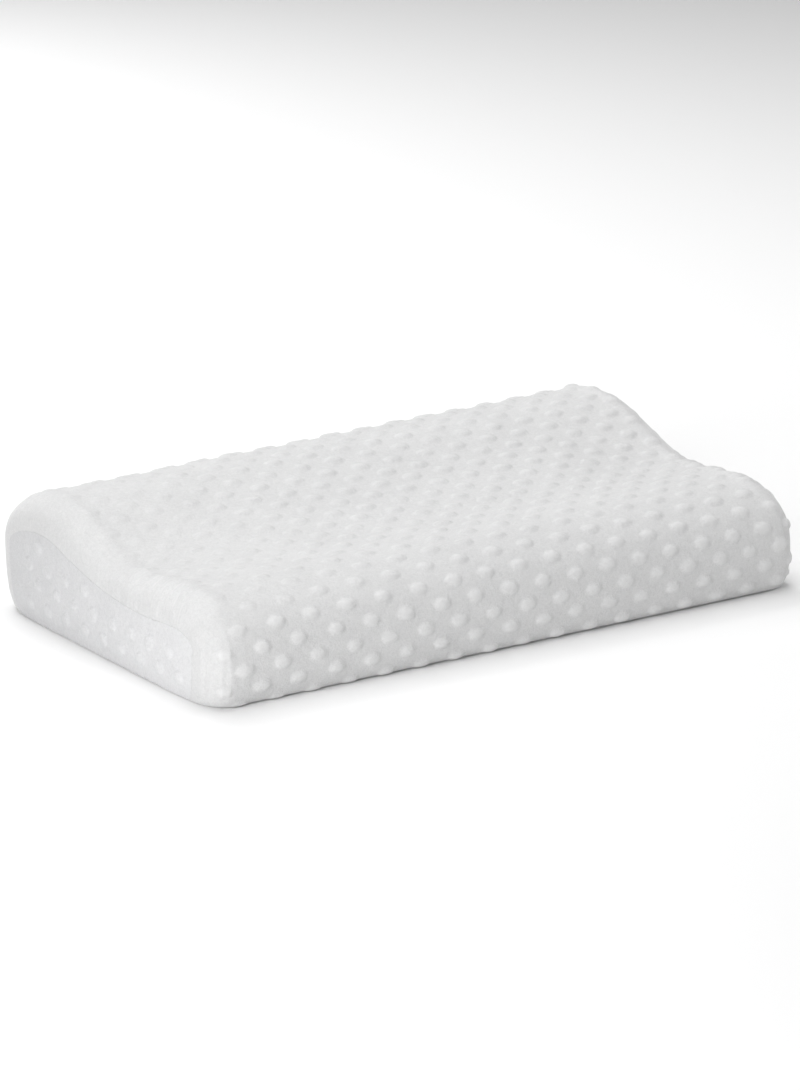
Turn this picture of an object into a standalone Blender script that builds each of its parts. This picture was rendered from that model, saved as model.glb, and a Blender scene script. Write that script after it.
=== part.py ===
"""A contour pillow: memory foam with a low front lobe and a high back lobe, in a cover of raised-dot velour.

Metres, +Z up. The origin is under the middle of the pillow, on the surface that it lies on. X runs along
its length, -Y is the low front lobe and +Y the high back lobe. The cover is one long panel that wraps the
foam from front to back, and a panel sewn into each end.
"""
import math
import random

import bmesh
import bpy
import numpy as np
from mathutils import Vector
from mathutils.geometry import delaunay_2d_cdt

# The foam's profile, front to back: how far out and how high it reaches, and where its two feet stand
FRONT_REACH = -0.1503
FRONT_NOSE_Z = 0.0341
FRONT_FOOT = -0.1378
FRONT_CREST = (-0.0966, 0.07405)
VALLEY = (-0.0203, 0.0674)
BACK_CREST = (0.0831, 0.09315)
BACK_REACH = 0.1503
BACK_NOSE_Z = 0.0503
BACK_FOOT = 0.1364
ROUNDNESS = 2.2

# Between the ends the valley stands fuller, because no seam draws the cloth down there
VALLEY_FILL = 0.0065
FILL_AT = -0.007
FILL_REACH = 0.066
FILL_FADE = (0.110, 0.224)

# The ends: where the top begins to round over, where the seam lies, and the tuck at the foot
HALF_RUN = 0.2245
SEAM_X = 0.247
TOP_ROUND = 0.024
FRONT_CORNER_ROUND = 0.030
BACK_CORNER_ROUND = 0.020
VALLEY_SEAM_RISE = 0.006
END_FULLNESS = 0.8
FOOT_SET_IN = 0.003
FOOT_HEIGHT = 0.020

# The end panels' cloth
PANEL_THICKNESS = 0.0025
PANEL_CROWN = 0.0007
PANEL_LIFT = 0.0006
GAP = 0.0003

# The raised dots: a staggered lattice that climbs to the right and closes up there. Its rows stand further apart
# over the front lobe, where the cloth is stretched, and its dots lie flatter on the top
DOT_PITCH = 0.03034
DOT_PITCH_LOSS = 0.000134
DOT_ROW = 0.0139
ROW_STRETCH = 0.0143
STRETCH_ROWS = (1.5, 9.0)
DOT_CLIMB = 0.02
FIRST_DOT = (-0.2374, 0.0240)
DOT_LIMIT = 0.2435
DOT_WANDER = 0.0006
DOT_REACH = (0.0072, 0.0048)
DOT_HEIGHT = 0.0021
DOT_FLATTENED = 0.45
DOT_SIDES = 6
END_PITCH = 0.0255
END_ROW = 0.0145
END_FIRST_DOT = (-0.104, 0.016)
END_SHOULDER = 0.045
END_DOT_REACH = (0.0056, 0.0052)
END_DOT_TO_SEAM = 0.0095

# How closely the plain cloth between the dots is divided
STATION = 0.0125
LONG_STATION = 0.024
EDGE_ROWS = (0.004, 0.009)
TUCK_ROWS = (0.25, 0.5, 0.75, 1.0)
DOT_TO_EDGE = 0.017
CLEAR_OF_DOT = 0.0095
CURVE_STEPS = 24
SLOPE_REACH = 0.0015
FLAT_MATCH = 1e-7
WELD = 0.00002
SHARP = math.radians(50)

# Plain colours of the two cloths
WRAP_COLOUR = (0.84, 0.84, 0.85)
END_COLOUR = (0.80, 0.80, 0.83)
CLOTH_ROUGHNESS = 0.95


def remove_everything():
    """Starts from an empty scene."""
    for thing in list(bpy.data.objects):
        bpy.data.objects.remove(thing, do_unlink=True)


def quarter_round(centre, reach):
    """A quarter of a superellipse, from beside its centre to above or below it."""
    points = []
    for k in range(CURVE_STEPS + 1):
        turn = 0.5 * math.pi * k / CURVE_STEPS
        out = math.cos(turn) ** (2 / ROUNDNESS) if k < CURVE_STEPS else 0.0
        up = math.sin(turn) ** (2 / ROUNDNESS)
        points.append((centre[0] + reach[0] * out, centre[1] + reach[1] * up))
    return points


def swell(start, end):
    """Half a wave between a crest and a valley, level at both."""
    points = []
    for k in range(CURVE_STEPS + 1):
        share = 0.5 - 0.5 * math.cos(math.pi * k / CURVE_STEPS)
        points.append((start[0] + (end[0] - start[0]) * k / CURVE_STEPS, start[1] + (end[1] - start[1]) * share))
    return points


def foam_profile():
    """The foam's outline from the front foot over both lobes to the back foot, and the runs to its two noses."""
    front_low = quarter_round((FRONT_FOOT, FRONT_NOSE_Z), (FRONT_REACH - FRONT_FOOT, -FRONT_NOSE_Z))[::-1]
    front_high = quarter_round(
        (FRONT_CREST[0], FRONT_NOSE_Z), (FRONT_REACH - FRONT_CREST[0], FRONT_CREST[1] - FRONT_NOSE_Z)
    )
    back_high = quarter_round(
        (BACK_CREST[0], BACK_NOSE_Z), (BACK_REACH - BACK_CREST[0], BACK_CREST[1] - BACK_NOSE_Z)
    )[::-1]
    back_low = quarter_round((BACK_FOOT, BACK_NOSE_Z), (BACK_REACH - BACK_FOOT, -BACK_NOSE_Z))
    stretches = [front_low, front_high, swell(FRONT_CREST, VALLEY), swell(VALLEY, BACK_CREST), back_high, back_low]
    points = [stretches[0][0]]
    for stretch in stretches:
        points.extend(stretch[1:])
    points = np.array(points)
    runs = np.concatenate([[0.0], np.cumsum(np.linalg.norm(np.diff(points, axis=0), axis=1))])
    return points, runs, float(runs[CURVE_STEPS]), float(runs[-1 - CURVE_STEPS])


PROFILE, PROFILE_RUN, FRONT_NOSE_T, BACK_NOSE_T = foam_profile()
GIRTH = float(PROFILE_RUN[-1])
ROUND_RUN = 0.5 * math.pi * 0.5 * (TOP_ROUND + FRONT_CORNER_ROUND)
SEAM_S = HALF_RUN + ROUND_RUN


def profile_at(t):
    """The profile's point and outward normal, as y and z, at a distance t round it from the front foot."""
    def point(run):
        return np.array([np.interp(run, PROFILE_RUN, PROFILE[:, axis]) for axis in (0, 1)])

    along = point(min(t + SLOPE_REACH, GIRTH)) - point(max(t - SLOPE_REACH, 0.0))
    along /= np.linalg.norm(along)
    return point(t), np.array([-along[1], along[0]])


def inward_at(t):
    """Which way the cloth draws in as it rounds an end: square to the profile, but level below the two noses."""
    if t <= FRONT_NOSE_T:
        return np.array([1.0, 0.0])
    if t >= BACK_NOSE_T:
        return np.array([-1.0, 0.0])
    return -profile_at(t)[1]


def end_x(z):
    """How far out an end's cloth stands at a height z: it tucks in towards the foot."""
    low = max(0.0, 1 - z / FOOT_HEIGHT)
    return SEAM_X - FOOT_SET_IN * low * low


def rounding_at(y, inward):
    """How far the cloth draws in from the profile to the seam, where the profile lies at y and inward is its way in."""
    corner = FRONT_CORNER_ROUND if inward[0] > 0 else BACK_CORNER_ROUND
    rise = VALLEY_SEAM_RISE * ease(abs(y - FILL_AT) / FILL_REACH)
    return TOP_ROUND - rise + (corner - TOP_ROUND) * inward[0] ** 2


def ease(share):
    """A smooth fall from one to nothing, as the share goes from nothing to one."""
    return math.cos(0.5 * math.pi * min(1.0, max(0.0, share))) ** 2


def valley_fill(s, y):
    """How much higher the valley stands at a place than it does at the ends."""
    fade = ease((abs(s) - FILL_FADE[0]) / (FILL_FADE[1] - FILL_FADE[0]))
    return VALLEY_FILL * fade * ease(abs(y - FILL_AT) / FILL_REACH)


def on_foam(s, t, height=0.0):
    """Where a point of the wrapping panel lies: s along the length, t round the profile, height off the cloth.

    Past HALF_RUN the cloth rounds over the end, down to the seam at SEAM_S.
    """
    (y, z), normal = profile_at(t)
    z += valley_fill(s, y)
    inward = inward_at(t)
    turn = max(0.0, abs(s) - HALF_RUN) / ROUND_RUN * 0.5 * math.pi
    drop = rounding_at(y, inward) * (1 - math.cos(turn))
    y = y + inward[0] * drop + normal[0] * height * math.cos(turn)
    z = z + inward[1] * drop + normal[1] * height * math.cos(turn)
    if turn > 0:
        x = HALF_RUN + (end_x(z) - HALF_RUN) * math.sin(turn) ** END_FULLNESS + height * math.sin(turn)
    else:
        x = abs(s)
    return math.copysign(x, s), y, z


def dot_points(centre, reach, height):
    """A dot on the flat cloth: its foot ring at no height, then its top. Each point is (across, up, height)."""
    ring = [
        (
            centre[0] + reach[0] * math.cos(2 * math.pi * k / DOT_SIDES),
            centre[1] + reach[1] * math.sin(2 * math.pi * k / DOT_SIDES),
            0.0,
        )
        for k in range(DOT_SIDES)
    ]
    return ring + [(centre[0], centre[1], height)]


def wander(chance):
    """A small seeded shift, because no dot of a stretched cloth sits exactly on its lattice."""
    return chance.uniform(-DOT_WANDER, DOT_WANDER)


def triangles_inside(points, outline_size, creases=()):
    """Triangles between flat points, inside the outline of the first outline_size points, with the creases kept."""
    flat = [Vector((p[0], p[1])) for p in points]
    result = delaunay_2d_cdt(flat, list(creases), [list(range(outline_size))], 1, FLAT_MATCH)
    faces, origins = result[2], result[3]
    return [[origins[corner][0] for corner in face] for face in faces]


def even_stations(low, high, spacing):
    """Evenly spaced values from low to high, both included."""
    count = max(1, round((high - low) / spacing))
    return [low + (high - low) * k / count for k in range(count + 1)]


def lengthwise_stations():
    """Where the points of a row along the pillow lie: closer together where it rounds the ends."""
    rounded = even_stations(HALF_RUN, SEAM_S, STATION)
    return [-s for s in reversed(rounded)] + even_stations(-HALF_RUN, HALF_RUN, LONG_STATION)[1:-1] + rounded


def seam_stations():
    """Where the seam's points lie round the profile: closer together at the two bottom edges."""
    edge = [0.0, *EDGE_ROWS]
    middle = even_stations(EDGE_ROWS[-1], GIRTH - EDGE_ROWS[-1], STATION)
    return edge + middle[1:-1] + [GIRTH - t for t in reversed(edge)]


def dot_centres():
    """Where the dots lie on the wrapping panel."""
    chance = random.Random(4)
    centres = []
    row = 0
    row_run = FIRST_DOT[1]
    while row_run < GIRTH:
        place = 0.5 * (row % 2)
        s = FIRST_DOT[0] + DOT_PITCH * place - DOT_PITCH_LOSS * place * place
        while s <= DOT_LIMIT:
            t = row_run + DOT_CLIMB * s
            if t < GIRTH - DOT_TO_EDGE:
                centres.append((s + wander(chance), t + wander(chance)))
            place += 1
            s = FIRST_DOT[0] + DOT_PITCH * place - DOT_PITCH_LOSS * place * place
        row += 1
        stretched = 1 - ease((row - STRETCH_ROWS[0]) / (STRETCH_ROWS[1] - STRETCH_ROWS[0]))
        row_run = FIRST_DOT[1] + DOT_ROW * row + ROW_STRETCH * stretched
    return centres


def wrap_layout():
    """The wrapping panel laid flat: its points, how many of them make its outline, and the edges kept in it."""
    lengthwise = lengthwise_stations()
    stations = seam_stations()
    points = [(s, 0.0, 0.0) for s in lengthwise]
    points += [(SEAM_S, t, 0.0) for t in stations[1:-1]]
    points += [(s, GIRTH, 0.0) for s in reversed(lengthwise)]
    points += [(-SEAM_S, t, 0.0) for t in reversed(stations[1:-1])]
    outline_size = len(points)
    creases = []
    for t in [*EDGE_ROWS, *(GIRTH - t for t in EDGE_ROWS)]:
        first = len(points)
        points += [(s, t, 0.0) for s in lengthwise]
        creases += [(k, k + 1) for k in range(first, len(points) - 1)]
    centres = dot_centres()
    for centre in centres:
        upright = profile_at(centre[1])[1][1]
        points += dot_points(centre, DOT_REACH, DOT_HEIGHT * (1 - DOT_FLATTENED * upright * upright))
    rounded = even_stations(HALF_RUN, SEAM_S, STATION)[:-1]
    for s in [-s for s in rounded] + rounded:
        for t in stations[3:-3]:
            if all(math.hypot(s - a, t - b) > CLEAR_OF_DOT for a, b in centres):
                points.append((s, t, 0.0))
    return points, outline_size, creases


def seam_outline(inset):
    """The seam round an end, as y and z, from the front foot to the back foot, drawn in by inset."""
    line = []
    for t in seam_stations():
        _, y, z = on_foam(SEAM_S, t)
        inward = inward_at(t)
        lift = PANEL_LIFT if inset else 0.0
        line.append((y + inward[0] * inset, max(z + inward[1] * inset, lift)))
    return line


def tuck_rows():
    """Rows of points across an end's foot, where its cloth curves in."""
    rows = []
    for share in TUCK_ROWS:
        for y in even_stations(END_FIRST_DOT[0], -END_FIRST_DOT[0], LONG_STATION):
            rows.append((y, share * FOOT_HEIGHT))
    return rows


def add_faces(mesh, corners, faces):
    """Adds a sheet of faces to the mesh, between corners given as x, y, z."""
    verts = [mesh.verts.new(c) for c in corners]
    for face in faces:
        mesh.faces.new([verts[i] for i in face])


def boundary(mesh):
    """The mesh's open edges."""
    return [e for e in mesh.edges if e.is_boundary]


def finished_object(name, mesh, material, collection):
    """Turns the mesh into a shaded object of the collection."""
    bmesh.ops.recalc_face_normals(mesh, faces=mesh.faces)
    data = bpy.data.meshes.new(name)
    mesh.to_mesh(data)
    mesh.free()
    data.materials.append(material)
    data.shade_smooth()
    data.set_sharp_from_angle(angle=SHARP)
    thing = bpy.data.objects.new(name, data)
    collection.objects.link(thing)
    return thing


def velour(name, colour):
    """Plush cloth: no shine, no metal."""
    material = bpy.data.materials.new(name)
    material.use_nodes = True
    shader = material.node_tree.nodes["Principled BSDF"]
    shader.inputs["Base Color"].default_value = (*colour, 1.0)
    shader.inputs["Roughness"].default_value = CLOTH_ROUGHNESS
    shader.inputs["Metallic"].default_value = 0.0
    return material


def make_body(collection):
    """The foam in its wrapping panel: dotted over the top, front and back, flat underneath, a rebate at each end."""
    mesh = bmesh.new()
    points, outline_size, creases = wrap_layout()
    faces = triangles_inside(points, outline_size, creases)
    add_faces(mesh, [on_foam(*p) for p in points], faces)
    for side in (-1, 1):
        outline = seam_outline(0.0)
        flat = outline + tuck_rows()
        faces = triangles_inside(flat, len(outline))
        depth = PANEL_THICKNESS + GAP
        add_faces(mesh, [(side * (end_x(z) - depth), y, z) for y, z in flat], faces)
        rim = [(side * end_x(z), y, z) for y, z in outline]
        floor = [(side * (end_x(z) - depth), y, z) for y, z in outline]
        strip = [[k, k + 1, len(rim) + k + 1, len(rim) + k] for k in range(len(rim) - 1)]
        add_faces(mesh, rim + floor, strip)
    bmesh.ops.remove_doubles(mesh, verts=mesh.verts, dist=WELD)
    bmesh.ops.holes_fill(mesh, edges=boundary(mesh), sides=0)
    bmesh.ops.triangulate(mesh, faces=mesh.faces)
    return finished_object("pillow_body", mesh, velour("wrap_velour", WRAP_COLOUR), collection)


def end_layout(outline):
    """An end panel laid flat: its outline, its dots in staggered rows, and the points of its tuck."""
    chance = random.Random(9)
    upper = [p for p in outline if p[1] > END_SHOULDER]
    centres = []
    row = 0
    while END_FIRST_DOT[1] + row * END_ROW < BACK_CREST[1]:
        z = END_FIRST_DOT[1] + row * END_ROW
        y = END_FIRST_DOT[0] + (row % 2) * END_PITCH / 2
        while y < -END_FIRST_DOT[0]:
            roof = np.interp(y, [p[0] for p in upper], [p[1] for p in upper], left=0.0, right=0.0)
            if z < roof - END_DOT_TO_SEAM:
                centres.append((y + wander(chance), z + wander(chance)))
            y += END_PITCH
        row += 1
    points = [(y, z, 0.0) for y, z in outline]
    for centre in centres:
        points += dot_points(centre, END_DOT_REACH, DOT_HEIGHT)
    for y, z in tuck_rows():
        if all(math.hypot(y - a, z - b) > CLEAR_OF_DOT for a, b in centres):
            points.append((y, z, 0.0))
    return points


def crown_at(y, z, outline):
    """How far the end panel's cloth swells at a point: nothing at the seam, all of it well inside."""
    nearest = min(math.hypot(y - a, z - b) for a, b in outline)
    return PANEL_CROWN * math.sin(0.5 * math.pi * min(1.0, nearest / FOOT_HEIGHT))


def make_end_panel(name, side, material, collection):
    """The dotted panel sewn into one end: a sheet of cloth that lies in the body's rebate."""
    mesh = bmesh.new()
    outline = seam_outline(GAP)
    front = end_layout(outline)
    faces = triangles_inside(front, len(outline))
    corners = [(side * (end_x(z) + crown_at(y, z, outline) + height), y, z) for y, z, height in front]
    add_faces(mesh, corners, faces)
    back = outline + tuck_rows()
    faces = triangles_inside(seam_outline(0.0) + tuck_rows(), len(outline))
    add_faces(mesh, [(side * (end_x(z) - PANEL_THICKNESS), y, z) for y, z in back], faces)
    bmesh.ops.bridge_loops(mesh, edges=boundary(mesh))
    bmesh.ops.triangulate(mesh, faces=mesh.faces)
    return finished_object(name, mesh, material, collection)


def main():
    """Makes the pillow's three pieces in their own collection."""
    remove_everything()
    collection = bpy.data.collections.new("memory_foam_pillow")
    bpy.context.scene.collection.children.link(collection)
    make_body(collection)
    panel_cloth = velour("end_velour", END_COLOUR)
    make_end_panel("end_panel_left", -1, panel_cloth, collection)
    make_end_panel("end_panel_right", 1, panel_cloth, collection)


main()
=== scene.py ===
"""A contour pillow of memory foam in a cover of white raised-dot velour, as it looks in a soft light.

Metres, +Z up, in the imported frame: X along the pillow, -Y the low front lobe, +Y the high back lobe.
"""
import math
import random

import bmesh
import bpy
import numpy as np
from mathutils import Matrix, Vector, noise
from mathutils.geometry import delaunay_2d_cdt


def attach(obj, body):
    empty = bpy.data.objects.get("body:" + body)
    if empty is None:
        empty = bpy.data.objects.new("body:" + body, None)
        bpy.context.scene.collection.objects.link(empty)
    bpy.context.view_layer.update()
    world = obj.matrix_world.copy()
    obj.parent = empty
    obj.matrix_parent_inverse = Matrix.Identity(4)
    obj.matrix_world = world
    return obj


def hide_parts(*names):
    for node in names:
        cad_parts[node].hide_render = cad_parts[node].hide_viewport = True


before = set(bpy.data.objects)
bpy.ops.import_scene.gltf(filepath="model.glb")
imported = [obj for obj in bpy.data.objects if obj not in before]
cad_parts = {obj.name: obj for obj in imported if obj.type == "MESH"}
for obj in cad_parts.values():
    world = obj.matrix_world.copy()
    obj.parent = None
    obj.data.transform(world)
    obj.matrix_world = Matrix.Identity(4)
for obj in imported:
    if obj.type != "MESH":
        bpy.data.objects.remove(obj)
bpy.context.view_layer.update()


# The foam and the wrapping panel.
# One block of moulded memory foam, low in front and high behind, in one long panel of white velour. The panel
# wraps it over both lobes and underneath, and is sewn at each end to the end panel, with the seam inside.
FRONT_REACH = -0.1503
FRONT_NOSE_Z = 0.0341
FRONT_FOOT = -0.1378
FRONT_CREST = (-0.0966, 0.07405)
VALLEY = (-0.0203, 0.0674)
BACK_CREST = (0.0831, 0.09315)
BACK_REACH = 0.1503
BACK_NOSE_Z = 0.0503
BACK_FOOT = 0.1364
ROUNDNESS = 2.2
VALLEY_FILL = 0.0065
FILL_AT = -0.007
FILL_REACH = 0.066
FILL_FADE = (0.110, 0.224)
CURVE_STEPS = 48
SLOPE_REACH = 0.002

HALF_RUN = 0.2245
SEAM_X = 0.247
TOP_ROUND = 0.024
FRONT_CORNER_ROUND = 0.030
BACK_CORNER_ROUND = 0.020
VALLEY_SEAM_RISE = 0.006
END_FULLNESS = 0.8
FOOT_SET_IN = 0.003
FOOT_HEIGHT = 0.020


def quarter_round(centre, reach):
    """A quarter of a superellipse, from beside its centre to above or below it."""
    points = []
    for k in range(CURVE_STEPS + 1):
        turn = 0.5 * math.pi * k / CURVE_STEPS
        out = math.cos(turn) ** (2 / ROUNDNESS) if k < CURVE_STEPS else 0.0
        up = math.sin(turn) ** (2 / ROUNDNESS)
        points.append((centre[0] + reach[0] * out, centre[1] + reach[1] * up))
    return points


def swell(start, end):
    """Half a wave between a crest and a valley, level at both."""
    points = []
    for k in range(CURVE_STEPS + 1):
        share = 0.5 - 0.5 * math.cos(math.pi * k / CURVE_STEPS)
        along = start[0] + (end[0] - start[0]) * k / CURVE_STEPS
        points.append((along, start[1] + (end[1] - start[1]) * share))
    return points


def foam_profile():
    """The outline from the front foot over both lobes to the back foot, its runs, and where its noses lie."""
    front_low = quarter_round((FRONT_FOOT, FRONT_NOSE_Z), (FRONT_REACH - FRONT_FOOT, -FRONT_NOSE_Z))[::-1]
    front_reach = (FRONT_REACH - FRONT_CREST[0], FRONT_CREST[1] - FRONT_NOSE_Z)
    front_high = quarter_round((FRONT_CREST[0], FRONT_NOSE_Z), front_reach)
    back_reach = (BACK_REACH - BACK_CREST[0], BACK_CREST[1] - BACK_NOSE_Z)
    back_high = quarter_round((BACK_CREST[0], BACK_NOSE_Z), back_reach)[::-1]
    back_low = quarter_round((BACK_FOOT, BACK_NOSE_Z), (BACK_REACH - BACK_FOOT, -BACK_NOSE_Z))
    points = [front_low[0]]
    swells = [swell(FRONT_CREST, VALLEY), swell(VALLEY, BACK_CREST)]
    for stretch in [front_low, front_high, *swells, back_high, back_low]:
        points.extend(stretch[1:])
    points = np.array(points)
    runs = np.concatenate([[0.0], np.cumsum(np.linalg.norm(np.diff(points, axis=0), axis=1))])
    return points, runs, runs[CURVE_STEPS], runs[-1 - CURVE_STEPS]


PROFILE, PROFILE_RUN, FRONT_NOSE_T, BACK_NOSE_T = foam_profile()
GIRTH = float(PROFILE_RUN[-1])
ROUND_RUN = 0.5 * math.pi * 0.5 * (TOP_ROUND + FRONT_CORNER_ROUND)
SEAM_S = HALF_RUN + ROUND_RUN


def profile_at(t):
    """The profile's points and outward normals, as y and z, at distances t round it from the front foot."""
    def point(run):
        return np.stack([np.interp(run, PROFILE_RUN, PROFILE[:, axis]) for axis in (0, 1)], axis=-1)

    along = point(np.minimum(t + SLOPE_REACH, GIRTH)) - point(np.maximum(t - SLOPE_REACH, 0.0))
    along /= np.linalg.norm(along, axis=-1, keepdims=True)
    return point(t), np.stack([-along[..., 1], along[..., 0]], axis=-1)


def end_x(z):
    """How far out an end's cloth stands at a height z: it tucks in towards the foot."""
    low = np.maximum(0.0, 1 - z / FOOT_HEIGHT)
    return SEAM_X - FOOT_SET_IN * low * low


def across_valley(y):
    """1 in the middle of the valley, falling to 0 on the slopes beside it."""
    return np.cos(0.5 * math.pi * np.minimum(1.0, np.abs(y - FILL_AT) / FILL_REACH)) ** 2


def valley_fill(s, y):
    """How much higher the valley stands at places than at the ends, where the seams draw the cloth down."""
    fade = np.clip((np.abs(s) - FILL_FADE[0]) / (FILL_FADE[1] - FILL_FADE[0]), 0.0, 1.0)
    return VALLEY_FILL * np.cos(0.5 * math.pi * fade) ** 2 * across_valley(y)


def on_foam(s, t, height):
    """Where points of the wrap lie: s along the length, t round the profile, height off the cloth."""
    at, normal = profile_at(t)
    below = (t <= FRONT_NOSE_T) | (t >= BACK_NOSE_T)
    level = np.stack([np.where(t < 0.5 * GIRTH, 1.0, -1.0), np.zeros_like(t)], axis=-1)
    inward = np.where(below[..., None], level, -normal)
    turn = np.maximum(0.0, np.abs(s) - HALF_RUN) / ROUND_RUN * 0.5 * math.pi
    corner = np.where(inward[..., 0] > 0, FRONT_CORNER_ROUND, BACK_CORNER_ROUND)
    rise = VALLEY_SEAM_RISE * across_valley(at[..., 0])
    drop = (TOP_ROUND - rise + (corner - TOP_ROUND) * inward[..., 0] ** 2) * (1 - np.cos(turn))
    y = at[..., 0] + inward[..., 0] * drop + normal[..., 0] * height * np.cos(turn)
    z = at[..., 1] + inward[..., 1] * drop + normal[..., 1] * height * np.cos(turn)
    z = z + valley_fill(s, at[..., 0])
    z = np.maximum(z, 0.0)
    turned = np.sin(np.minimum(turn, 0.5 * math.pi))
    rounded = HALF_RUN + (end_x(z) - HALF_RUN) * turned ** END_FULLNESS + height * turned
    x = np.where(turn > 0, rounded, np.abs(s))
    return np.stack([np.copysign(x, s), y, z], axis=-1)


# The dots are embossed in the velour, in staggered rows that run a little uphill to the right. The rows stand
# further apart over the front lobe, and the dots lie flatter on the top, most of all towards its left end.
DOT_PITCH = 0.03034
DOT_PITCH_LOSS = 0.000134
DOT_ROW = 0.0139
ROW_STRETCH = 0.0143
STRETCH_ROWS = (1.5, 9.0)
DOT_CLIMB = 0.02
FIRST_DOT = (-0.2374, 0.0240)
LOW_DOT_T = 0.0090
DOT_LIMIT = 0.2435
DOT_TO_EDGE = 0.017
DOT_WANDER = 0.0006
DOT_REACH = (0.0071, 0.0049)
DOT_REACH_SPREAD = 0.06
DOT_HEIGHT = 0.0022
DOT_HEIGHT_SPREAD = 0.0003
DOT_EDGE = 3.2


def wander(chance):
    """A small seeded shift, because no dot of a stretched cloth sits exactly on its lattice."""
    return chance.uniform(-DOT_WANDER, DOT_WANDER)


def wrap_dots():
    """Where the wrapping panel's dots lie, as s and t."""
    chance = random.Random(4)
    centres = []
    row = 0
    row_run = FIRST_DOT[1]
    while row_run < GIRTH:
        place = 0.5 * (row % 2)
        s = FIRST_DOT[0] + DOT_PITCH * place - DOT_PITCH_LOSS * place * place
        while s <= DOT_LIMIT:
            t = row_run + DOT_CLIMB * s
            if t < GIRTH - DOT_TO_EDGE:
                centres.append((s + wander(chance), t + wander(chance)))
            place += 1
            s = FIRST_DOT[0] + DOT_PITCH * place - DOT_PITCH_LOSS * place * place
        row += 1
        row_run = FIRST_DOT[1] + DOT_ROW * row + ROW_STRETCH * ease(*STRETCH_ROWS, row)
    for place in np.arange(0.5, 18.0):
        s = FIRST_DOT[0] + DOT_PITCH * place - DOT_PITCH_LOSS * place * place
        centres.append((s + wander(chance), LOW_DOT_T + DOT_CLIMB * s + wander(chance)))
    return centres


def dot_relief(across, up, centres, reach, chance):
    """How high the dots stand at points of the flat cloth, and how far into a dot each lies, from 0 to 1."""
    relief = np.zeros_like(across)
    inside = np.zeros_like(across)
    for a, b in centres:
        size = 1 + chance.uniform(-DOT_REACH_SPREAD, DOT_REACH_SPREAD)
        high = DOT_HEIGHT + chance.uniform(-DOT_HEIGHT_SPREAD, DOT_HEIGHT_SPREAD)
        near = np.nonzero((np.abs(across - a) < reach[0] * size) & (np.abs(up - b) < reach[1] * size))
        share = np.hypot((across[near] - a) / reach[0], (up[near] - b) / reach[1]) / size
        share = np.minimum(1.0, share)
        relief[near] = np.maximum(relief[near], high * (1 - share ** DOT_EDGE))
        inside[near] = np.maximum(inside[near], 1 - share ** DOT_EDGE)
    return relief, inside


def ease(low, high, value):
    """0 below low, 1 above high, and a smooth rise between."""
    share = np.clip((value - low) / (high - low), 0.0, 1.0)
    return share * share * (3 - 2 * share)


def noise_on(points, size, seed):
    """Smooth seeded noise from -1 to 1 at points given as x, y, z, in lumps of a size."""
    shift = Vector((seed * 7.3, seed * 3.1, seed * 5.7))
    values = [noise.noise(Vector(p) / size + shift) for p in points.reshape(-1, 3)]
    return np.array(values).reshape(points.shape[:-1])


WRAP_STEP = 0.0016
UNDERSIDE_ROWS = 8
DOT_FADE = (0.222, 0.240)
# Where the front face turns into the top, and how much of the dots' painted highlight is kept on the top: the
# dots are painted lighter on the front face, where the light falls on them.
FRONT_TO_TOP_T = (0.07, 0.10)
DOT_HIGHLIGHT_ON_TOP = 0.2
DOT_FLATTENED = 0.18
DOT_FADE_LEFT_OVER = 0.3
FAINT_LEFT = 0.35
FAINT_LEFT_S = (0.05, 0.19)
CORNER_T = 0.062
UNEVEN = 0.0005
UNEVEN_SIZE = 0.045
EVEN_AT_SEAM = (0.015, 0.002)
SEAM_DIP = 0.0002
SEAM_DIP_WIDTH = 0.003
REBATE = 0.003
NEAR_SEAM = 0.012
SEAM_CLEAR = 0.006
STREAK_T = (0.05, 0.075)
PUCKER = 0.0026
PUCKER_ACROSS = 0.0055
PUCKER_ALONG = 0.05
PUCKER_T = (0.085, 0.115, 0.185, 0.215)
CORNER_STREAK = 0.0011
STREAK_ACROSS = 0.0035
STREAK_ALONG = 0.045
RIDGE = 0.0011
RIDGE_PAST_EDGE = 0.002
RIDGE_WIDTH = 0.0055


def even_stations(low, high, spacing):
    """Evenly spaced values from low to high, both included."""
    count = max(1, round((high - low) / spacing))
    return np.linspace(low, high, count + 1)


def wrinkles(s, t):
    """The cloth's ridges at the end seams: square to the seam in the valley, upright on the front corners."""
    side = np.sign(s) * 3
    out = np.abs(s)
    across = np.stack([out / PUCKER_ALONG, t / PUCKER_ACROSS, side], axis=-1)
    past_edge = ease(HALF_RUN - NEAR_SEAM, HALF_RUN + NEAR_SEAM, out)
    near_seam = past_edge * (1 - ease(SEAM_S - SEAM_CLEAR, SEAM_S, out))
    in_valley = ease(*PUCKER_T[:2], t) * (1 - ease(*PUCKER_T[2:], t))
    upright = np.stack([out / STREAK_ACROSS, t / STREAK_ALONG, side], axis=-1)
    on_corner = 1 - ease(*STREAK_T, t)
    return near_seam * (
        PUCKER * in_valley * noise_on(across, 1.0, 5) + CORNER_STREAK * on_corner * noise_on(upright, 1.0, 7)
    )


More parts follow.
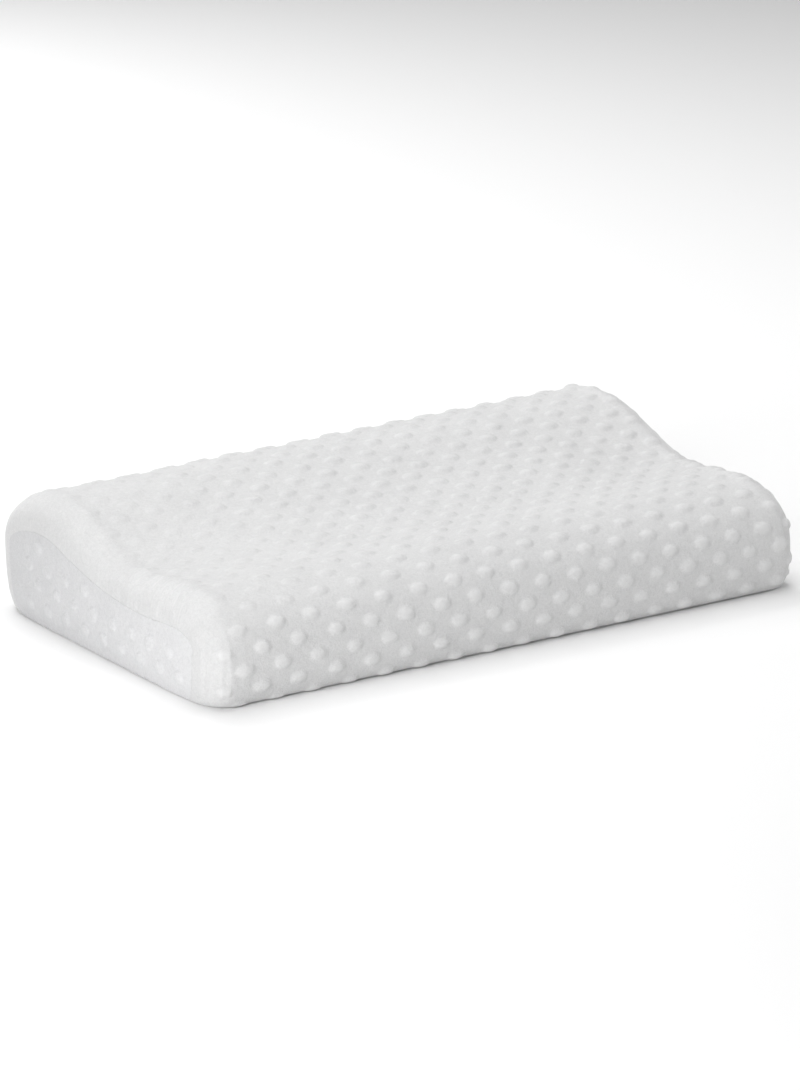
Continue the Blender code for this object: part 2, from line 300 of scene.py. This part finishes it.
def wrap_height(s, t):
    """How far the cloth stands off the foam's plain form at s, t, and how far into a dot each point is, as a
    painted highlight that is stronger on the front face than on the top.
    """
    relief, inside = dot_relief(s, t, wrap_dots(), DOT_REACH, random.Random(11))
    on_front = 1 - ease(CORNER_T, CORNER_T + DOT_ROW, t)
    fade = 1 - (1 - DOT_FADE_LEFT_OVER) * ease(*DOT_FADE, np.abs(s)) * (1 - on_front)
    fade *= 1 - FAINT_LEFT * ease(*FAINT_LEFT_S, -s) * (1 - on_front)
    uneven = UNEVEN * noise_on(np.stack([s, t, np.zeros_like(s)], axis=-1), UNEVEN_SIZE, 1)
    uneven *= 1 - ease(SEAM_S - EVEN_AT_SEAM[0], SEAM_S - EVEN_AT_SEAM[1], np.abs(s))
    dip = SEAM_DIP * np.exp(-((SEAM_S - np.abs(s)) / SEAM_DIP_WIDTH) ** 2)
    on_top = ease(*FRONT_TO_TOP_T, t) * ease(*FRONT_TO_TOP_T, GIRTH - t)
    ridge = RIDGE * on_top * np.exp(-((np.abs(s) - HALF_RUN - RIDGE_PAST_EDGE) / RIDGE_WIDTH) ** 2)
    grounded = ease(0.0, FOOT_HEIGHT, t) * ease(0.0, FOOT_HEIGHT, GIRTH - t)
    low = ease(0.0, LOW_DOT_T, t)
    # The dots get a painted highlight: in full on the front face, and a fifth of it on the top.
    highlight_share = DOT_HIGHLIGHT_ON_TOP + (1 - DOT_HIGHLIGHT_ON_TOP) * (1 - ease(*FRONT_TO_TOP_T, t))
    flatter = 1 - DOT_FLATTENED * profile_at(t)[1][..., 1] ** 2
    height = relief * flatter * fade * low + (uneven - dip + ridge + wrinkles(s, t)) * grounded
    return height, inside * fade * low * highlight_share


def grid_faces(columns, rows):
    """The quads of a grid whose points run along its rows."""
    return [
        (r * columns + c, r * columns + c + 1, (r + 1) * columns + c + 1, (r + 1) * columns + c)
        for r in range(rows - 1)
        for c in range(columns - 1)
    ]


def cloth_object(name, points, faces, inside):
    """Makes a smooth shaded object, and keeps the painted highlight on its dots, from how far into a dot each
    point is, as the attribute dot.
    """
    data = bpy.data.meshes.new(name)
    data.from_pydata([tuple(p) for p in points], [], faces)
    dot = data.attributes.new("dot", "FLOAT", "POINT")
    dot.data.foreach_set("value", np.asarray(inside, np.float32))
    mesh = bmesh.new()
    mesh.from_mesh(data)
    bmesh.ops.remove_doubles(mesh, verts=mesh.verts, dist=0.00001)
    bmesh.ops.holes_fill(mesh, edges=[e for e in mesh.edges if e.is_boundary], sides=0)
    bmesh.ops.recalc_face_normals(mesh, faces=mesh.faces)
    mesh.to_mesh(data)
    mesh.free()
    data.shade_smooth()
    data.set_sharp_from_angle(angle=math.radians(60))
    thing = bpy.data.objects.new(name, data)
    bpy.context.scene.collection.objects.link(thing)
    return thing


def make_wrap():
    """The wrapping panel on the foam: a fine grid over the top, plain cloth below, closed at both ends."""
    along = even_stations(-SEAM_S, SEAM_S, WRAP_STEP)
    around = even_stations(0.0, GIRTH, WRAP_STEP)
    s, t = np.meshgrid(along, around)
    height, inside = wrap_height(s, t)
    over = on_foam(s, t, height)
    shares = np.linspace(0.0, 1.0, UNDERSIDE_ROWS + 1)[1:-1, None, None]
    under = over[-1][None] * (1 - shares) + over[0][None] * shares
    around_all = np.concatenate([over, under, over[:1]])
    inward = np.array([REBATE, 0.0, 0.0])
    around_all = np.concatenate([around_all[:, :1] + inward, around_all, around_all[:, -1:] - inward], axis=1)
    rows, columns = around_all.shape[:2]
    # Only the points over the foam carry the painted highlight on the dots.
    dot_highlight = np.zeros((rows, columns))
    dot_highlight[: len(over), 1:-1] = inside
    return cloth_object("wrapping_panel", around_all.reshape(-1, 3), grid_faces(columns, rows), dot_highlight.ravel())


class Wire:
    """A socket in a material's nodes. Sums on it add Math nodes, and node() adds any other node."""

    def __init__(self, tree, socket=None):
        self.tree = tree
        self.socket = socket

    def node(self, kind, settings=None, values=None, output=0):
        """Adds a node: its settings first, then the values or links of its sockets."""
        made = self.tree.nodes.new(kind)
        for name, value in (settings or {}).items():
            if name == "stops":
                for k, (place, grey) in enumerate(value):
                    stop = made.color_ramp.elements[k] if k < 2 else made.color_ramp.elements.new(place)
                    stop.position = place
                    stop.color = (grey, grey, grey, 1.0)
            else:
                setattr(made, name, value)
        for name, value in (values or {}).items():
            if isinstance(value, Wire):
                self.tree.links.new(value.socket, made.inputs[name])
            else:
                made.inputs[name].default_value = value
        return Wire(self.tree, made.outputs[output])

    def maths(self, operation, first, second):
        """Adds a Math node on two values."""
        return self.node("ShaderNodeMath", {"operation": operation}, {0: first, 1: second})

    def __add__(self, other):
        return self.maths("ADD", self, other)

    def __sub__(self, other):
        return self.maths("SUBTRACT", self, other)

    def __rsub__(self, other):
        return self.maths("SUBTRACT", other, self)

    def __mul__(self, other):
        return self.maths("MULTIPLY", self, other)

    __radd__ = __add__
    __rmul__ = __mul__


PILE_SIZE = 0.0011
TUFT_SIZE = 0.0028
NAP_SIZE = 0.03
PILE_DEPTH = 0.00035
TUFT_DEPTH = 0.0004
PILE_TONE = 1.3
TUFT_TONE = 0.9
NAP_TONE = 0.6
# How much lighter the dots are painted, as a painted highlight.
DOT_HIGHLIGHT = 0.5


def velour(name, light, dark, warmth, shade_towards_back):
    """Short white plush: a soft grain of pile, tufts, and patches where the nap lies another way, with the
    dots painted lighter as a painted highlight and, where it is asked for, painted shade towards the back.
    """
    material = bpy.data.materials.new(name)
    material.use_nodes = True
    tree = material.node_tree
    shader = tree.nodes["Principled BSDF"]
    start = Wire(tree)
    place = start.node("ShaderNodeTexCoord", output="Object")

    def lumps(size, detail):
        settings = {"noise_dimensions": "3D"}
        values = {"Vector": place, "Scale": 1 / size, "Detail": detail}
        return start.node("ShaderNodeTexNoise", settings, values)

    pile = lumps(PILE_SIZE, 3.0)
    tuft = lumps(TUFT_SIZE, 2.0)
    nap = lumps(NAP_SIZE, 2.0)
    # The dot attribute adds a painted highlight on the dots.
    dot = start.node("ShaderNodeAttribute", {"attribute_name": "dot"}, output="Fac")
    turned = start.node("ShaderNodeSeparateXYZ", {}, {"Vector": place}, output="Y")
    grain = (pile - 0.5) * PILE_TONE + (tuft - 0.5) * TUFT_TONE + (nap - 0.5) * NAP_TONE
    # The tone falls with Y, towards the back, by the weight of the last argument, as painted shade.
    tone = 0.5 + grain + dot * DOT_HIGHLIGHT - turned * shade_towards_back
    colour = start.node(
        "ShaderNodeMix",
        {"data_type": "RGBA", "clamp_factor": True},
        {0: tone, 6: (*dark, 1.0), 7: (*light, 1.0)},
        output=2,
    )
    tree.links.new(colour.socket, shader.inputs["Base Color"])
    rough = 0.85 + (pile - 0.5) * 0.2
    tree.links.new(rough.socket, shader.inputs["Roughness"])
    tufts = {"Strength": 0.7, "Distance": TUFT_DEPTH, "Height": tuft}
    soft = start.node("ShaderNodeBump", {}, tufts)
    piles = {"Strength": 0.9, "Distance": PILE_DEPTH, "Height": pile, "Normal": soft}
    fine = start.node("ShaderNodeBump", {}, piles)
    tree.links.new(fine.socket, shader.inputs["Normal"])
    shader.inputs["Sheen Weight"].default_value = 0.35
    shader.inputs["Sheen Roughness"].default_value = 0.45
    shader.inputs["Sheen Tint"].default_value = (1.0, 1.0 - warmth, 1.0 - 2 * warmth, 1.0)
    shader.inputs["Specular IOR Level"].default_value = 0.2
    return material


wrap = make_wrap()
wrap.data.materials.append(velour("wrap_velour", (0.73, 0.73, 0.73), (0.615, 0.615, 0.617), 0.0, 0.0))
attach(wrap, "root")
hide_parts("pillow_body")


# The end panels.
# A piece of the same velour closes each end. It is cut to the end's outline, sewn in all round with the seam
# turned inside, and stretched over the foam.
PANEL_GAP = 0.00003
PANEL_STEP = 0.00125
PANEL_THICKNESS = 0.0022
PANEL_CROWN = 0.0016
CROWN_RUN = 0.03
END_PITCH = 0.0255
END_ROW = 0.0145
END_FIRST_DOT = (-0.104, 0.016)
END_SHOULDER = 0.045
END_DOT_REACH = (0.0056, 0.0052)
END_DOT_TO_SEAM = 0.0095
END_DOT_SHARE = 0.65
# How much lighter the end panel's dots are painted, as a painted highlight.
END_DOT_HIGHLIGHT = 0.25


def seam_line(inset):
    """The seam round an end, as y and z, from the front foot to the back foot, drawn in by inset."""
    t = even_stations(0.0, GIRTH, PANEL_STEP)
    at, normal = profile_at(t)
    below = (t <= FRONT_NOSE_T) | (t >= BACK_NOSE_T)
    level = np.stack([np.where(t < 0.5 * GIRTH, 1.0, -1.0), np.zeros_like(t)], axis=-1)
    inward = np.where(below[..., None], level, -normal)
    line = on_foam(np.full_like(t, SEAM_S), t, np.zeros_like(t))[:, 1:] + inward * inset
    line[:, 1] = np.maximum(line[:, 1], 0.0)
    return line


def end_dots(outline):
    """Where an end panel's dots lie, as y and z."""
    chance = random.Random(9)
    upper = outline[outline[:, 1] > END_SHOULDER]
    centres = []
    row = 0
    while END_FIRST_DOT[1] + row * END_ROW < BACK_CREST[1]:
        z = END_FIRST_DOT[1] + row * END_ROW
        y = END_FIRST_DOT[0] + (row % 2) * END_PITCH / 2
        while y < -END_FIRST_DOT[0]:
            roof = np.interp(y, upper[:, 0], upper[:, 1], left=0.0, right=0.0)
            if z < roof - END_DOT_TO_SEAM:
                centres.append((y + wander(chance), z + wander(chance)))
            y += END_PITCH
        row += 1
    return centres


def inside_line(points, line):
    """Which of the flat points lie inside a closed line."""
    inside = np.zeros(len(points), bool)
    for (ya, za), (yb, zb) in zip(line, np.roll(line, -1, axis=0)):
        crosses = (za > points[:, 1]) != (zb > points[:, 1])
        if crosses.any():
            reach = ya + (points[crosses, 1] - za) / (zb - za) * (yb - ya)
            inside[crosses] ^= points[crosses, 0] < reach
    return inside


def make_end_panel(name, side):
    """One end panel: a thin stretched sheet with flatter dots, crowned a little between its seams."""
    outline = seam_line(PANEL_GAP)
    wide = np.arange(outline[:, 0].min(), outline[:, 0].max(), PANEL_STEP)
    high = np.arange(0.5 * PANEL_STEP, outline[:, 1].max(), PANEL_STEP)
    lattice = np.stack(np.meshgrid(wide, high), axis=-1).reshape(-1, 2)
    lattice = lattice[inside_line(lattice, outline)]
    distance = np.min(np.linalg.norm(lattice[:, None] - outline[None, ::2], axis=-1), axis=1)
    lattice = lattice[distance > 0.6 * PANEL_STEP]
    distance = distance[distance > 0.6 * PANEL_STEP]
    flat = np.concatenate([outline, lattice])
    edge_distance = np.concatenate([np.zeros(len(outline)), distance])
    result = delaunay_2d_cdt([Vector(p) for p in flat], [], [list(range(len(outline)))], 1, 1e-7)
    triangles = [[result[3][corner][0] for corner in face] for face in result[2]]
    relief, inside = dot_relief(flat[:, 0], flat[:, 1], end_dots(outline), END_DOT_REACH, random.Random(21))
    crown = PANEL_CROWN * np.sin(0.5 * math.pi * np.minimum(1.0, edge_distance / CROWN_RUN))
    places = np.stack([flat[:, 0], flat[:, 1], np.full(len(flat), side)], axis=-1)
    uneven = UNEVEN * noise_on(places, UNEVEN_SIZE, 3)
    rise = crown + relief * END_DOT_SHARE + uneven * np.minimum(1.0, edge_distance / FOOT_HEIGHT)
    front = np.stack([side * (end_x(flat[:, 1]) + rise), flat[:, 0], flat[:, 1]], axis=-1)
    back = np.stack([side * (end_x(flat[:, 1]) + rise - PANEL_THICKNESS), flat[:, 0], flat[:, 1]], axis=-1)
    count = len(flat)
    rim_next = [(k + 1) % len(outline) for k in range(len(outline))]
    rim = [(k, after, count + after, count + k) for k, after in enumerate(rim_next)]
    faces = triangles + [[count + corner for corner in reversed(face)] for face in triangles] + rim
    # The painted highlight on the end panel's dots.
    dot_highlight = np.concatenate([inside * END_DOT_HIGHLIGHT, np.zeros(count)])
    return cloth_object(name, np.concatenate([front, back]), faces, dot_highlight), outline


def outline_area(line):
    """The area inside a closed line."""
    ahead = np.roll(line, -1, axis=0)
    return 0.5 * abs(float(np.sum(line[:, 0] * ahead[:, 1] - ahead[:, 0] * line[:, 1])))


# The end panels' velour is a shaded copy of the wrap's: painted darker towards the back as painted shade, a
# little darker in its dark, and tinted a little blue in colour and sheen as a painted cool tint of the light.
end_cloth = velour("end_velour", (0.725, 0.725, 0.732), (0.60, 0.60, 0.608), -0.005, 2.7)
for name, side in (("end_panel_left", -1), ("end_panel_right", 1)):
    panel, outline = make_end_panel(name + "_cloth", side)
    panel.data.materials.append(end_cloth)
    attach(panel, "root")
    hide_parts(name)
    outline_area(outline)


# The table that the pillow lies on, and the light.
# A plain white surface and an even white surround. A broad soft light stands above, and smaller ones stand
# left, right, behind and low in front.
FLOOR_SIZE = 14.0
FLOOR_BELOW = 0.0002
CENTRE = Vector((0.0, 0.0, 0.045))


def plain_white(name, grey):
    """A matt surface of one grey."""
    material = bpy.data.materials.new(name)
    material.use_nodes = True
    shader = material.node_tree.nodes["Principled BSDF"]
    shader.inputs["Base Color"].default_value = (grey, grey, grey, 1.0)
    shader.inputs["Roughness"].default_value = 1.0
    shader.inputs["Specular IOR Level"].default_value = 0.0
    return material


floor_mesh = bpy.data.meshes.new("floor")
floor_builder = bmesh.new()
bmesh.ops.create_grid(floor_builder, x_segments=4, y_segments=4, size=0.5 * FLOOR_SIZE)
floor_builder.to_mesh(floor_mesh)
floor_builder.free()
floor = bpy.data.objects.new("floor", floor_mesh)
floor.location.z = -FLOOR_BELOW
floor_mesh.materials.append(plain_white("white_surface", 0.95))
bpy.context.scene.collection.objects.link(floor)


def soft_light(name, place, size, watts, colour=(1.0, 1.0, 1.0)):
    """A square soft light that looks at the pillow's middle."""
    data = bpy.data.lights.new(name, "AREA")
    data.shape = "SQUARE"
    data.size = size
    data.energy = watts
    data.color = colour
    light = bpy.data.objects.new(name, data)
    light.location = place
    light.rotation_mode = "QUATERNION"
    light.rotation_quaternion = (CENTRE - Vector(place)).to_track_quat("-Z", "Y")
    light.visible_camera = False
    bpy.context.scene.collection.objects.link(light)
    return light


soft_light("top_light", (0.0, 0.2, 2.0), 2.0, 29.5)
soft_light("high_back_light", (0.2, 1.3, 1.6), 1.0, 11.5)
soft_light("left_light", (-1.4, -1.2, 0.9), 0.9, 11.6)
soft_light("low_left_light", (-1.2, -0.5, 0.35), 0.5, 4.9)
soft_light("right_light", (1.6, -0.8, 0.9), 1.0, 8.2)
soft_light("back_light", (0.0, 1.8, 0.6), 0.8, 7.0)
soft_light("low_front_light", (-0.3, -1.3, 0.12), 0.2, 0.45)

world = bpy.data.worlds.new("white_surround")
world.use_nodes = True
world.node_tree.nodes["Background"].inputs["Color"].default_value = (1.0, 1.0, 1.0, 1.0)
world.node_tree.nodes["Background"].inputs["Strength"].default_value = 0.045
bpy.context.scene.world = world
bpy.context.scene.view_settings.view_transform = "Standard"


# The camera.
# It stands in front of the pillow's left end and looks a little down, from far off with a long lens.
CAMERA_AZIMUTH = math.radians(32.245)
CAMERA_ELEVATION = math.radians(17.835)
CAMERA_ROLL = math.radians(0.817)
CAMERA_DISTANCE = 6.0
CAMERA_AIM = (0.0, 0.001, 0.040)
AIM_RIGHT = 0.00055
AIM_DOWN = 0.00174
LENS = 276.6
SENSOR = 36.0

right = Vector((math.cos(CAMERA_AZIMUTH), -math.sin(CAMERA_AZIMUTH), 0.0))
forward = Vector((
    math.sin(CAMERA_AZIMUTH) * math.cos(CAMERA_ELEVATION),
    math.cos(CAMERA_AZIMUTH) * math.cos(CAMERA_ELEVATION),
    -math.sin(CAMERA_ELEVATION),
))
up = right.cross(forward)
aim = Vector(CAMERA_AIM) + right * AIM_RIGHT - up * AIM_DOWN
rolled_right = right * math.cos(CAMERA_ROLL) - up * math.sin(CAMERA_ROLL)
rolled_up = up * math.cos(CAMERA_ROLL) + right * math.sin(CAMERA_ROLL)
lens = bpy.data.cameras.new("camera")
lens.lens = LENS
lens.sensor_width = SENSOR
camera = bpy.data.objects.new("camera", lens)
turned = Matrix((rolled_right, rolled_up, -forward)).transposed().to_4x4()
camera.matrix_world = Matrix.Translation(aim - forward * CAMERA_DISTANCE) @ turned
bpy.context.scene.collection.objects.link(camera)
bpy.context.scene.camera = camera
